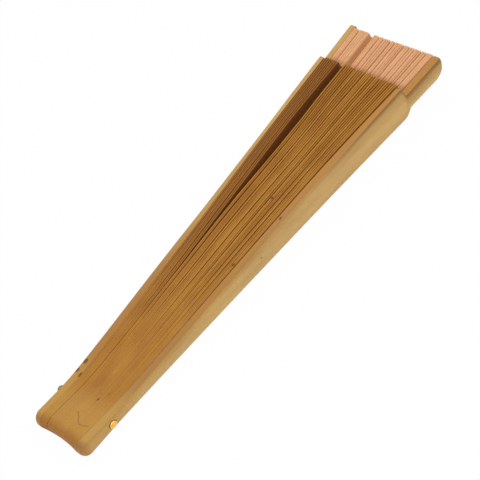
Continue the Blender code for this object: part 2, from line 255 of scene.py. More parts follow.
class Recipe:
    """A material or world that is built up from named nodes."""

    def __init__(self, owner, shader="Principled BSDF"):
        owner.use_nodes = True
        self.owner = owner
        self.tree = owner.node_tree
        self.shader = self.tree.nodes[shader]

    def node(self, kind, settings=None, inputs=None, output=0):
        """Adds a node, sets it and its inputs, and returns one of its outputs as a Value."""
        made = self.tree.nodes.new(kind)
        for name, value in (settings or {}).items():
            setattr(made, name, value)
        for key, value in (inputs or {}).items():
            if isinstance(value, Value):
                self.tree.links.new(value.socket, made.inputs[key])
            else:
                made.inputs[key].default_value = value
        return Value(self, made.outputs[output])

    def place(self):
        """Where a point of the piece is, in the fan's own frame."""
        return self.node("ShaderNodeTexCoord", output="Object")

    def along(self, axis):
        return self.node("ShaderNodeSeparateXYZ", inputs={0: self.place()}, output="XYZ".index(axis))

    def stretched(self, scales, offset=(0, 0, 0)):
        """The place, scaled apart along each axis."""
        return self.node("ShaderNodeMapping", inputs={0: self.place(), "Location": offset, "Scale": scales})

    def noise(self, scales, detail=3.0, roughness=0.5, offset=(0, 0, 0)):
        """Cloudy noise with so many features a metre along each axis."""
        return self.node("ShaderNodeTexNoise", inputs={
            "Vector": self.stretched(scales, offset), "Scale": 1.0,
            "Detail": detail, "Roughness": roughness})

    def attribute(self, name):
        return self.node("ShaderNodeAttribute", {"attribute_name": name}, output="Fac")

    def ramped(self, value, low, high, to_low=0.0, to_high=1.0):
        """The value's way from low to high, eased, as a way from to_low to to_high."""
        return self.node("ShaderNodeMapRange", {"interpolation_type": "SMOOTHSTEP"}, {
            "Value": value, "From Min": low, "From Max": high, "To Min": to_low, "To Max": to_high})

    def colours(self, share, first, second):
        """A colour between two."""
        ends = [c if isinstance(c, Value) else (*c[:3], 1.0) for c in (first, second)]
        inputs = {0: share, 6: ends[0], 7: ends[1]}
        return self.node("ShaderNodeMix", {"data_type": "RGBA"}, inputs, output=2)

    def tinted(self, colour, strength):
        """The colour times a strength that varies."""
        return self.node("ShaderNodeVectorMath", {"operation": "SCALE"}, {0: colour, "Scale": strength})

    def spot(self, centre, radii, ragged=0.35):
        """1 inside a ragged spot about a point, 0 outside."""
        offset = self.node("ShaderNodeVectorMath", {"operation": "SUBTRACT"}, {0: self.place(), 1: centre})
        scaled = self.node("ShaderNodeVectorMath", {"operation": "DIVIDE"}, {0: offset, 1: radii})
        far = self.node("ShaderNodeVectorMath", {"operation": "LENGTH"}, {0: scaled}, output="Value")
        edge = self.noise((1100, 1100, 1100), detail=2.0)
        return self.ramped(far + (edge - 0.5) * ragged * 2, 1.15, 0.75)

    def edge_depth(self):
        """How far a point lies from the nearer of a strip's two long edges."""
        near, far = (self.attribute(name) for name in ("near_depth", "far_depth"))
        return near.maths("MINIMUM", near, far)

    def bump(self, height, distance, strength=1.0, normal=None):
        inputs = {"Height": height, "Distance": distance, "Strength": strength}
        if normal is not None:
            inputs["Normal"] = normal
        return self.node("ShaderNodeBump", inputs=inputs)

    def rays(self, *kinds):
        """1 for rays of each kind, 0 for others."""
        return [self.node("ShaderNodeLightPath", output=kind) for kind in kinds]

    def feed(self, **sockets):
        """Links values to the shader's sockets, or sets them, and returns the material or world."""
        for name, value in sockets.items():
            socket = self.shader.inputs[name.replace("_", " ").title().replace("Ior", "IOR")]
            if isinstance(value, Value):
                self.tree.links.new(value.socket, socket)
            else:
                socket.default_value = value
        return self.owner


# Millimetres: the middles and the radii of small dark marks
MARKS = (
    ((-83.6, 14.7, 6.7), (1.4, 0.9, 1.5)),
    ((-88.5, 14.9, 6.6), (1.2, 0.9, 1.5)),
    ((-89.6, 12.2, 6.6), (1.4, 0.45, 1.5)),
    ((-94.0, -3.3, 6.8), (0.8, 0.42, 1.5)),
    ((-89.7, -5.8, 6.6), (0.28, 0.28, 1.0)),
    ((18.1, -7.3, 13.9), (0.7, 0.6, 1.2)),
    ((11.6, -17.3, 13.4), (1.0, 0.55, 1.2)),
    ((-16.3, -13.2, 11.4), (0.8, 0.55, 1.2)),
    ((-5.8, -18.6, 7.1), (0.35, 0.7, 0.4)),
)
# Millimetres: the bends of a thin run of varnish near the butt
VARNISH_RUN = (
    (-102.9, -0.4), (-104.6, -2.7), (-106.2, -4.1), (-106.9, -5.4), (-106.7, -7.2), (-105.4, -9.4))


def marked(wood, colour, mark_colour):
    """The colour with small dark marks in it."""
    for centre, radii in MARKS:
        mark = wood.spot([c * MM for c in centre], [r * MM for r in radii])
        colour = wood.colours(mark * 0.85, colour, mark_colour)
    return colour


def varnish_run(wood):
    """1 along a thin bent line of varnish over the near edges, 0 elsewhere."""
    x, y = wood.along("X"), wood.along("Y")
    found = None
    for start, end in zip(VARNISH_RUN, VARNISH_RUN[1:]):
        x0, y0 = (c * MM for c in start)
        dx, dy = (b * MM - a * MM for a, b in zip(start, end))
        square = dx ** 2 + dy ** 2
        share = (x - x0) * (dx / square) + (y - y0) * (dy / square)
        share = share.maths("MAXIMUM", share.maths("MINIMUM", share, 1.0), 0.0)
        aside = x - share * dx - x0
        beside = y - share * dy - y0
        far = (aside * aside + beside * beside) ** 0.5
        found = far if found is None else far.maths("MINIMUM", far, found)
    return wood.ramped(found, 0.42 * MM, 0.08 * MM)


def darker_end(wood, colour, clouds, dark, start, full):
    """The colour, darker towards the butt, partly a stain and partly painted shade of the rounded end: from
    a start to its full depth, from the end.
    """
    edge = wood.along("X") + (clouds - 0.5) * 3 * MM
    return wood.colours(wood.ramped(edge, BUTT + start, BUTT + full) * 0.6, colour, dark)


def stick_wood(colours):
    """Varnished edges of thin sticks, with darker sides, painted shade on the sides that face the wide gap,
    and tones that differ from stick to stick.
    """
    wood = Recipe(bpy.data.materials.new("stick wood"))
    fibres = wood.noise((60, 4200, 4200), detail=4.0, roughness=0.6)
    streaks = wood.noise((14, 1300, 500))
    clouds = wood.noise((75, 150, 110), offset=(3, 1, 7))
    opened = wood.ramped(wood.along("X"), -85 * MM, 10 * MM, 0.25, 1.0)
    tone = (wood.attribute("tone") - 0.5) * 0.6 + (streaks - 0.5) * 0.5 + (fibres - 0.5) * 0.3
    share = tone * opened + (clouds - 0.5) * 0.9 + 0.5
    colour = wood.colours(wood.ramped(share, 0.05, 0.95), colours.stick_dark, colours.stick_light)
    golden = wood.ramped(wood.along("X"), -88 * MM, -102 * MM)
    colour = wood.colours(golden * 0.6, colour, colours.butt_gold)
    high = wood.ramped(wood.along("X"), -90 * MM, 40 * MM)
    red_wood = wood.colours(wood.ramped(share, 0.0, 1.3), colours.stick_red, colours.stick_dark)
    colour = wood.colours(wood.attribute("left_group") * high * 0.95, colour, red_wood)
    # Stain and painted shade on the rounded butt end
    colour = darker_end(wood, colour, clouds, colours.butt_red, 6.5 * MM, 2.0 * MM)
    colour = marked(wood, colour, colours.mark)
    colour = wood.colours(varnish_run(wood) * 0.6, colour, colours.stick_red)
    depth = wood.edge_depth()
    side = wood.ramped(depth, 0.10 * MM, 0.42 * MM)
    # Painted shade on the sides that face the wide gap, darkest within 3 mm of an edge
    gap_shade = wood.attribute("gap_side") * wood.ramped(depth, 6 * MM, 3 * MM)
    dark = [c * f for c, f in zip(colours.stick_side, (0.5, 0.44, 0.5))]
    side_wood = wood.colours(wood.ramped(share, 0.0, 1.0), [c * 0.75 for c in colours.stick_side],
                             [c * 1.3 for c in colours.stick_side])
    colour = wood.colours(side * 0.95, colour, wood.colours(gap_shade * 0.9, side_wood, dark))
    shine = wood.ramped(clouds, 0.3, 0.7, 0.36, 0.48)
    normal = wood.bump(fibres, 0.02 * MM, 0.5, wood.bump(clouds, 0.3 * MM, 0.3))
    return wood.feed(base_color=colour, roughness=shine, normal=normal, specular_ior_level=0.18)


def guard_wood(colours):
    """Varnished pale wood with broad soft grain, browner along its narrow edges, with a painted highlight
    on the near edge near the butt.
    """
    wood = Recipe(bpy.data.materials.new("guard wood"))
    fibres = wood.noise((50, 2600, 2600), detail=4.0, roughness=0.6)
    bands = wood.noise((9, 420, 260), offset=(1, 5, 2))
    clouds = wood.noise((32, 90, 70), offset=(5, 2, 9))
    share = (bands - 0.5) * 0.6 + (fibres - 0.5) * 0.35 + (clouds - 0.5) * 0.8 + 0.5
    colour = wood.colours(wood.ramped(share, 0.1, 0.9), colours.guard_dark, colours.guard_light)
    near = wood.attribute("near_depth")
    depth = near + (bands - 0.5) * 2.0 * MM
    along = wood.along("X")
    left_side = wood.attribute("left_side")
    # Near the butt the wood turns golden, and on the near edge there this also paints a highlight along the
    # rounded corner
    butt_colour_and_highlight = wood.ramped(along, -75 * MM, -100 * MM)
    colour = wood.colours(butt_colour_and_highlight * 0.5, colour, colours.butt_gold)
    upper = wood.ramped(along, 25 * MM, 85 * MM, 0.25, 1.0)
    inward = wood.ramped(depth, 9 * MM, 1.5 * MM) * (1 - left_side)
    browner = [mix(a * 0.8, b * 0.8, 0.45) for a, b in zip(colours.guard_dark, colours.guard_edge)]
    colour = wood.colours(upper * inward * 0.75, colour, browner)
    band = wood.ramped(near, 0.05 * MM, 0.5 * MM) * wood.ramped(depth, 3.4 * MM, 0.9 * MM)
    colour = wood.colours(band * upper * 0.9, colour, [c * 0.52 for c in colours.guard_edge])
    edge_wood = wood.colours(wood.ramped(share, 0.0, 1.0), [c * 0.88 for c in colours.guard_edge],
                             [c * 1.12 for c in colours.guard_edge])
    pale_edge = left_side * wood.ramped(along, -60 * MM, 30 * MM)
    edge_wood = wood.colours(pale_edge * 0.75, edge_wood, colour)
    edge_wood = wood.tinted(edge_wood, wood.ramped(along, -80 * MM, 80 * MM, 0.93, 1.1))
    edge = wood.ramped(near + (bands - 0.5) * 0.3 * MM, 0.6 * MM, 0.1 * MM)
    # Painted highlight: near the butt the near edge turns golden
    colour = wood.colours(edge, colour, wood.colours(butt_colour_and_highlight * 0.85, edge_wood, colours.butt_gold))
    # Stain and painted shade on the rounded butt end
    colour = darker_end(wood, colour, clouds, colours.butt_red, 5.5 * MM, 1.2 * MM)
    colour = marked(wood, colour, colours.mark)
    shine = wood.ramped(clouds, 0.3, 0.7, 0.36, 0.5)
    normal = wood.bump(fibres, 0.02 * MM, 0.45, wood.bump(clouds, 0.4 * MM, 0.25))
    return wood.feed(base_color=colour, roughness=shine, normal=normal, specular_ior_level=0.25)


def leaf_cloth(colours):
    """Thin plain-woven cloth in a dull pink, a little uneven, with painted shade deep in its folds and a
    painted shadow below the sticks' shoulders.
    """
    cloth = Recipe(bpy.data.materials.new("leaf cloth"))
    warp = cloth.noise((700, 4500, 4500), detail=2.0)
    weft = cloth.noise((5200, 900, 900), detail=2.0, offset=(4, 4, 4))
    clouds = cloth.noise((110, 420, 160), offset=(2, 8, 3))
    share = (warp - 0.5) * 0.4 + (weft - 0.5) * 0.4 + (clouds - 0.5) * 0.9 + 0.5
    darker = [c * f for c, f in zip(colours.leaf, (0.86, 0.80, 0.74))]
    colour = cloth.colours(cloth.ramped(share, 0.1, 0.9), darker, colours.leaf)
    depth = cloth.attribute("near_depth")
    # Painted shade: the cloth darkens deep in its folds, and more in the wide fold over the gap
    fold = cloth.ramped(depth, 0.25 * MM, 1.8 * MM)
    wide_fold = cloth.attribute("wide_fold") * cloth.ramped(depth, 0.2 * MM, 1.0 * MM)
    colour = cloth.colours(fold * 0.8, colour, colours.leaf_fold_shade)
    colour = cloth.colours(wide_fold * 0.85, colour, [c * 0.78 for c in colours.leaf_fold_shade])
    # Painted shadow of the sticks' shoulders where the leaf starts
    along = cloth.along("X") + (clouds - 0.5) * 1.2 * MM
    shaded = cloth.ramped(along, SHOULDER + 4.6 * MM, SHOULDER + 1.6 * MM)
    colour = cloth.colours(shaded * 0.6, colour, [c * 0.6 for c in colours.leaf_fold_shade])
    normal = cloth.bump(warp + weft, 0.03 * MM, 0.6)
    return cloth.feed(base_color=colour, roughness=0.82, normal=normal, specular_ior_level=0.2)


def rivet_brass(colours):
    """Brass with fine scratches."""
    brass = Recipe(bpy.data.materials.new("rivet brass"))
    scratches = brass.noise((900, 900, 7000))
    clouds = brass.noise((700, 700, 700), detail=2.0)
    dull = [c * 0.8 for c in colours.brass]
    colour = brass.colours(brass.ramped(clouds, 0.3, 0.7), dull, colours.brass)
    shine = brass.ramped(scratches, 0.3, 0.8, 0.22, 0.36)
    normal = brass.bump(scratches, 0.01 * MM, 0.4)
    return brass.feed(base_color=colour, roughness=shine, normal=normal, metallic=1.0)


def cap_metal(colours):
    """Tarnished metal, pitted."""
    metal = Recipe(bpy.data.materials.new("cap metal"))
    pits = metal.noise((1500, 1500, 1500))
    light = [min(1.0, c * 1.7) for c in colours.tarnish]
    colour = metal.colours(metal.ramped(pits, 0.35, 0.7), colours.tarnish, light)
    shine = metal.ramped(pits, 0.3, 0.7, 0.4, 0.6)
    normal = metal.bump(pits, 0.03 * MM, 0.5)
    return metal.feed(base_color=colour, roughness=shine, normal=normal, metallic=0.85)


def white_floor():
    """White paper that keeps a faint shadow: mostly its own white to the camera, lit elsewhere."""
    floor = Recipe(bpy.data.materials.new("white floor"))
    paper = floor.noise((40, 40, 40), detail=2.0)
    colour = floor.colours(paper, (0.93, 0.93, 0.93), (0.95, 0.95, 0.95))
    floor.feed(base_color=colour, roughness=0.9, specular_ior_level=0.1)
    camera, glossy, through = floor.rays("Is Camera Ray", "Is Glossy Ray", "Is Transmission Ray")
    seen = camera + glossy
    share = seen.maths("MAXIMUM", seen, through) * 0.96
    white = floor.node("ShaderNodeEmission", inputs={"Color": (1, 1, 1, 1), "Strength": 1.0})
    lit = Value(floor, floor.shader.outputs[0])
    shaded = floor.node("ShaderNodeMixShader", inputs={0: share, 1: lit, 2: white})
    floor.tree.links.new(shaded.socket, floor.tree.nodes["Material Output"].inputs["Surface"])
    return floor.owner


def settle(item, name, material):
    """Names the active mesh, gives it its material and puts its place into its mesh."""
    bpy.ops.object.transform_apply(location=True, rotation=True, scale=True)
    item.name = name
    item.data.name = name
    item.data.materials.clear()
    item.data.materials.append(material)
    return item


def only(item):
    """Makes an object the only one selected, and the active one."""
    bpy.ops.object.select_all(action="DESELECT")
    item.select_set(True)
    bpy.context.view_layer.objects.active = item


def apply_modifier(item, kind, **settings):
    only(item)
    added = item.modifiers.new(kind.title(), kind)
    for name, value in settings.items():
        setattr(added, name, value)
    bpy.ops.object.modifier_apply(modifier=added.name)


def eased(share):
    share = min(1.0, max(0.0, share))
    return share * share * (3 - 2 * share)


def mix(start, end, share):
    return start + (end - start) * share


def eased_way(x, start, end):
    """How far x is on its way between two places in millimetres beyond the rivet, eased."""
    return eased((x - RIVET.x - start * MM) / ((end - start) * MM))


def measured(rows, column, x):
    return float(np.interp(x, rows[:, 0], rows[:, column]))


def middle_of(stick, x):
    """Y of the middle of a stick's thickness."""
    rows = STICK_ROWS[stick]
    return (measured(rows, 1, x) + measured(rows, 3, x)) / 2


def smoothed(rows, column, x, reach):
    """A measured column at x, evened out over a reach to both sides."""
    steps = [reach * k / 4 for k in range(-4, 5)]
    return sum(measured(rows, column, x + step) for step in steps) / len(steps)


def corner_arc(out, height, radius, start, steps):
    """Points of a quarter circle, clockwise from a start angle in degrees."""
    angles = [math.radians(start - 90 * k / steps) for k in range(steps + 1)]
    return [(out + radius * math.cos(angle), height + radius * math.sin(angle)) for angle in angles]


# Roundings of a guard's inner edges, and of its outer near edge: low down, below the shoulder and
# on the tip
INNER_ROUNDING = 0.2 * MM
WORN_LOW = 0.45 * MM
WORN_HIGH = 0.75 * MM
WORN_TIP = 0.5 * MM
# How far to both sides a guard's far edge is evened out, and its near edge: least at the shoulder
EVEN_FAR = 0.7 * MM
EVEN_NEAR = (0.12 * MM, 5 * MM)
# The shoulder's step, with rings close together
STEP_START = SHOULDER - 5.0 * MM
STEP_END = SHOULDER + 2.2 * MM
BORE_RADIUS = 1.5 * MM


class GuardShape:
    """A guard's outline and thickness, from the frame."""

    def __init__(self, sizes, node):
        self.sizes = sizes
        self.node = node
        self.side = GUARDS[node]
        rows = GUARD_ROWS[node]
        self.rows = rows
        self.body = rows[(rows[:, 0] > BODY_START) & (rows[:, 0] < TIP_PART[1])]
        self.tip_high = line_through(rows, 4, *TIP_PART)
        self.tip_low = line_through(rows, 2, *TIP_PART)

    def inner(self, x):
        """Y of the flat inner face."""
        return measured(self.rows, 1 if self.side > 0 else 3, x)

    def edges(self, x):
        """Heights of the far and near edges, without the rounded ends."""
        if x > SHOULDER + 2 * MM:
            return np.polyval(self.tip_low, x), np.polyval(self.tip_high, x)
        least, most = EVEN_NEAR
        reach = min(most, max(least, STEP_START - x), max(least, x - BODY_START))
        return smoothed(self.body, 2, x, EVEN_FAR), smoothed(self.body, 4, x, reach)

    def widths(self, x):
        """Thickness at the near edge and at the far edge, evened out, but not across the shoulder."""
        table = np.array(THICKNESS[self.node]) * MM
        offsets = (-4, -2, 0, 2, 4) if x < SHOULDER - 7 * MM else (-0.3, 0, 0.3)
        places = [x - RIVET.x + offset * MM for offset in offsets]
        return [float(np.interp(places, table[:, 0], table[:, column]).mean()) for column in (1, 2)]

    def worn(self, x):
        """Rounding of the outer near edge, which is worn more towards the shoulder."""
        if x >= SHOULDER - 1.2 * MM:
            return WORN_TIP
        return mix(WORN_LOW, WORN_HIGH, eased((x - 20 * MM) / (65 * MM)))

    def ring(self, x, reach=1.0, fullness=1.0, near_cut=0.0, far_cut=0.0):
        """The points of one cross-section: reach scales its height, and fullness its thickness."""
        low, high = self.edges(x)
        middle, half = (low + high) / 2, (high - low) / 2 * reach
        low, high = middle - half + far_cut, middle + half - near_cut
        near, far = (width * fullness for width in self.widths(x))
        limit = (high - low) * 0.3
        sharp = min(INNER_ROUNDING, limit)
        near_round = min(self.worn(x), limit)
        far_round = min(self.sizes.guard_rounding, limit)
        points = corner_arc(sharp, low + sharp, sharp, 270, 2)
        points += corner_arc(sharp, high - sharp, sharp, 180, 2)
        points += corner_arc(near - near_round, high - near_round, near_round, 90, 5)
        start, end = high - near_round, low + far_round
        for k in range(1, 10):
            share = k / 10
            out = mix(near, far, share) + self.sizes.guard_bulge * fullness * 4 * share * (1 - share)
            points.append((out, mix(start, end, share)))
        points += corner_arc(far - far_round, low + far_round, far_round, 0, 5)
        inner = self.inner(x)
        return [(x, inner + self.side * out, height) for out, height in points]

    def butt_rings(self):
        """Cross-sections of the rounded butt end."""
        found = []
        for degrees in (7, 14, 22, 31, 41, 52, 64, 77, 90):
            angle = math.radians(degrees)
            x = BUTT + self.sizes.butt_rounding * (1 - math.cos(angle))
            fullness = mix(0.45, 1.0, math.sin(angle) ** 0.8)
            found.append(self.ring(x, reach=math.sin(angle), fullness=fullness))
        return found

    def body_rings(self):
        """Cross-sections from the butt's rounding to the tip's."""
        start, end = BUTT + self.sizes.butt_rounding, TIP - self.sizes.tip_rounding
        places = [mix(start, STEP_START, k / 30) for k in range(1, 31)]
        places += [mix(STEP_START, STEP_END, k / 48) for k in range(1, 49)]
        places += [mix(STEP_END, end, k / 4) for k in range(1, 5)]
        return [self.ring(x) for x in places]

    def tip_rings(self):
        """Cross-sections of the tip, with a round far corner and a nearly sharp near one."""
        radius = self.sizes.tip_rounding
        near_radius = 0.9 * MM
        thinning = 1.2 * MM
        found = []
        for degrees in (20, 38, 52, 63, 71, 77, 82, 86, 90):
            angle = math.radians(degrees)
            back = radius * (1 - math.sin(angle))
            near_cut = near_radius * max(0.0, 1 - back / near_radius) ** 2
            far_cut = radius * 0.88 * (1 - math.cos(angle))
            fullness = 1 - 0.14 * max(0.0, 1 - back / thinning) ** 2
            found.append(self.ring(TIP - back, fullness=fullness, near_cut=near_cut, far_cut=far_cut))
        return found


def lofted(rings):
    """A closed piece: one face, extruded ring by ring, whose corners then go to their places."""
    count = len(rings[0])
    bpy.ops.mesh.primitive_circle_add(vertices=count, radius=1, fill_type="NGON")
    made = bpy.context.object
    bpy.ops.object.mode_set(mode="EDIT")
    bpy.ops.mesh.select_mode(type="FACE")
    bpy.ops.mesh.select_all(action="SELECT")
    for _ in rings[1:]:
        bpy.ops.mesh.extrude_region_move(TRANSFORM_OT_translate={"value": (0, 0, 1)})
    bpy.ops.object.mode_set(mode="OBJECT")
    for corner in made.data.vertices:
        turn = math.atan2(corner.co.y, corner.co.x) / (2 * math.pi) * count
        corner.co = rings[round(corner.co.z)][round(turn) % count]
    bpy.ops.object.mode_set(mode="EDIT")
    bpy.ops.mesh.select_all(action="SELECT")
    bpy.ops.mesh.normals_make_consistent(inside=False)
    bpy.ops.object.mode_set(mode="OBJECT")
    return made


def bore(item, radius, depth=80 * MM, y=0.0):
    """Drills a hole about the rivet's axis, centred at y; it goes all through where no depth is given."""
    bpy.ops.mesh.primitive_cylinder_add(vertices=48, radius=radius, depth=depth,
                                        location=(RIVET.x, y, RIVET.z), rotation=(math.pi / 2, 0, 0))
    drill = bpy.context.object
    apply_modifier(item, "BOOLEAN", object=drill, operation="DIFFERENCE", solver="EXACT")
    bpy.data.objects.remove(drill, do_unlink=True)


def shade(item, degrees):
    only(item)
    bpy.ops.object.shade_smooth_by_angle(angle=math.radians(degrees))


def set_attribute(item, name, values):
    attribute = item.data.attributes.new(name, "FLOAT", "POINT")
    attribute.data.foreach_set("value", values)


def set_depths(item, edges):
    """Notes how far each vertex lies from the near edge and from the far edge."""
    heights = [(corner.co.z, *edges(corner.co.x)) for corner in item.data.vertices]
    set_attribute(item, "near_depth", [max(0.0, high - z) for z, low, high in heights])
    set_attribute(item, "far_depth", [max(0.0, z - low) for z, low, high in heights])


class FAN_OT_guards(bpy.types.Operator):
    """Model both guards as rounded strips of pale wood"""

    bl_idname = "fan.guards"
    bl_label = "Guards"

    def execute(self, context):
        sizes = context.scene.fan_sizes
        wood = guard_wood(context.scene.fan_colours)
        for node, side in GUARDS.items():
            shape = GuardShape(sizes, node)
            rings = [*shape.butt_rings(), *shape.body_rings(), *shape.tip_rings()]
            piece = settle(lofted(rings), f"{node}_wood", wood)
            if side < 0:
                crest = shape.inner(RIVET.x) - sum(shape.widths(RIVET.x)) / 2 - sizes.guard_bulge
                bore(piece, sizes.seat_radius, 2 * sizes.seat_depth, crest)
            bore(piece, BORE_RADIUS)
            shade(piece, 35)
            set_depths(piece, shape.edges)
            set_attribute(piece, "left_side", [float(side > 0)] * len(piece.data.vertices))
            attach(piece, node)
            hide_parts(node)
        return {"FINISHED"}


def copied_node(node, name):
    """A merged copy of a node's mesh, with flat faces in one piece."""
    made = bpy.data.objects.new(name, frame["nodes"][node].data.copy())
    bpy.context.scene.collection.objects.link(made)
    only(made)
    bpy.ops.object.mode_set(mode="EDIT")
    bpy.ops.mesh.select_all(action="SELECT")
    bpy.ops.mesh.remove_doubles(threshold=0.002 * MM)
    bpy.ops.mesh.dissolve_limited(angle_limit=math.radians(0.05))
    bpy.ops.object.mode_set(mode="OBJECT")
    return made


# How far the sticks on both sides of the wide gap keep off its middle, all along the fan
GROUP_ROOM = 0.13 * MM
# Shares of the free room that the gaps take, in the lower half and at the shoulders: the gap that
# follows the stick with this number, 1 where none is given. Zero is the gap after the left guard.
WIDE_GAPS_LOW = {
    1: 2.0, 3: 2.0, 5: 4.5, 6: 2.0, 7: 1.5, 9: 4.5, 13: 4.5, 14: 3.0, 18: 4.5, 21: 2.5, 22: 3.5, 24: 2.0,
    26: 3.5, 28: 4.0, 30: 2.2, 32: 5.0}
WIDE_GAPS_HIGH = {
    1: 0.8, 3: 1.2, 4: 0.8, 6: 1.3, 8: 1.5, 9: 0.8, 12: 1.3, 13: 0.8, 14: 1.5, 17: 1.9, 18: 0.7, 19: 0.6,
    21: 1.6, 22: 1.3, 24: 1.5, 25: 1.4, 26: 0.7, 27: 1.2, 29: 1.3, 31: 0.8, 32: 2.4}


def gap_share(after, high):
    """How wide the gap that follows a stick is, against an ordinary one."""
    return mix(WIDE_GAPS_LOW.get(after, 1.0), WIDE_GAPS_HIGH.get(after, 1.0), high)


def stick_edges(stick, x):
    """Heights of a stick's far and near edges."""
    rows = STICK_ROWS[stick]
    return measured(rows, 2, x), measured(rows, 4, x)


def pile_places(x, sizes):
    """For each stick at x: Y of its middle and its thickness, uneven as the real pile is."""
    high = eased_way(x, 95, 185)
    thin = eased_way(x, 8, 83)
    found = []
    for first, last in ((1, GAP_AFTER), (GAP_AFTER + 1, len(STICKS))):
        count = last - first + 1
        start, end = (middle_of(STICKS[k - 1], x) for k in (first, last))
        if first == 1:
            end += GROUP_ROOM
        else:
            start -= GROUP_ROOM
        pitch = (start - end) / (count - 1)
        tight = pitch - sizes.stick_room
        thickness = mix(tight, min(sizes.stick_thickness, tight), thin)
        gaps = [gap_share(k, high) for k in range(first - 1, last + 1)]
        gaps[0] *= 0.5
        gaps[-1] *= 0.5
        unit = count * (pitch - thickness) / sum(gaps)
        y = start + pitch / 2
        for gap in gaps[:-1]:
            y -= gap * unit
            found.append((y - thickness / 2, thickness))
            y -= thickness
    return found


def pushed_aside(stick, x, sizes):
    """How far a stick stands from its even place at x."""
    x = min(x, SHOULDER)
    return pile_places(x, sizes)[STICKS.index(stick)][0] - middle_of(stick, x)


def thicken(item, stick, sizes):
    """Gives a stick its place in the uneven pile, filled out where the varnished sticks lie tight."""
    index = STICKS.index(stick)
    at_shoulder = pushed_aside(stick, SHOULDER, sizes)
    for corner in item.data.vertices:
        x = corner.co.x
        if x > SHOULDER + 0.3 * MM:
            corner.co.y += at_shoulder
            continue
        side = 1 if corner.co.y > middle_of(stick, x) else -1
        middle, thickness = pile_places(x, sizes)[index]
        corner.co.y = middle + side * thickness / 2


def faces_gap(stick, place, sizes):
    """Whether a place on a stick is on its side towards the wide gap."""
    index = STICKS.index(stick)
    side = {GAP_AFTER - 1: -1, GAP_AFTER: 1}.get(index, 0)
    return side * (place.y - pile_places(place.x, sizes)[index][0]) > 0


def soften_edges(item, sizes):
    """Rounds the long edges, less so in the tight lower part."""
    mesh = item.data
    weights = mesh.attributes.new("bevel_weight_edge", "FLOAT", "EDGE")
    for edge in mesh.edges:
        x = sum(mesh.vertices[v].co.x for v in edge.vertices) / 2
        weights.data[edge.index].value = mix(0.3, 1.0, eased_way(x, 10, 100))
    only(item)
    bpy.ops.object.mode_set(mode="EDIT")
    bpy.ops.mesh.select_mode(type="EDGE")
    bpy.ops.mesh.select_all(action="DESELECT")
    bpy.ops.mesh.edges_select_sharp(sharpness=math.radians(60))
    bpy.ops.mesh.select_all(action="INVERT")
    bpy.ops.transform.edge_bevelweight(value=-1.0)
    bpy.ops.object.mode_set(mode="OBJECT")
    apply_modifier(item, "BEVEL", width=sizes.stick_rounding, segments=2, limit_method="WEIGHT")


class FAN_OT_sticks(bpy.types.Operator):
    """Model the sticks with soft varnished edges"""

    bl_idname = "fan.sticks"
    bl_label = "Sticks"

    def execute(self, context):
        sizes = context.scene.fan_sizes
        wood = stick_wood(context.scene.fan_colours)
        draw = random.Random(7)
        for node in STICKS:
            piece = settle(copied_node(node, f"{node}_wood"), f"{node}_wood", wood)
            thicken(piece, node, sizes)
            soften_edges(piece, sizes)
            shade(piece, 35)
            corners = piece.data.vertices
            walls = [float(faces_gap(node, corner.co, sizes)) for corner in corners]
            set_depths(piece, lambda x: stick_edges(node, x))
            set_attribute(piece, "tone", [draw.random()] * len(corners))
            set_attribute(piece, "left_group", [float(node in LEFT_GROUP)] * len(corners))
            set_attribute(piece, "gap_side", walls)
            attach(piece, node)
            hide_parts(node)
        return {"FINISHED"}


# How many times the ordinary width the fold beside the stick with this number is, 1 where none is given
VALLEYS = {
    1: 0.3, 2: 0.3, 3: 1.5, 4: 0.5, 5: 0.35, 6: 0.5, 7: 0.3, 9: 0.35, 10: 1.7, 11: 0.4, 12: 1.2, 13: 0.9,
    14: 0.8, 15: 1.9, 16: 0.35, 17: 1.3, 18: 0.9, 19: 0.5, 20: 1.0, 21: 2.0, 22: 0.3, 23: 1.2, 24: 0.6,
    25: 1.2, 26: 0.5, 27: 1.1, 28: 1.9, 29: 0.6, 30: 1.3, 31: 0.3, 32: 0.3, 33: 2.2}
LEAF_START = SHOULDER + 0.7 * MM
# How far short of the tip the leaf ends, beside the left guard and beside the right one
LEAF_SHORT = (1.5 * MM, 0.3 * MM)
# How far below the leaf's ridge line a glued panel ends, how high the ridge rises from there, and how
# far a panel is glued from its stick's middle
RIDGE_HEIGHT = 0.35 * MM
CROWN_HEIGHT = 0.33 * MM
GLUE_OFFSET = 0.25 * MM
GUARD_GLUE_OFFSET = 0.1 * MM
# Depth of the cloth's trough over the wide gap
TROUGH_DEPTH = 2.4 * MM


def half_round(middle, half, height, rise, steps=6):
    """Points of half an ellipse that rises from a height, or falls where the rise is negative."""
    angles = [math.pi * j / steps for j in range(steps + 1)]
    return [(middle + half * math.cos(angle), height + rise * math.sin(angle)) for angle in angles]


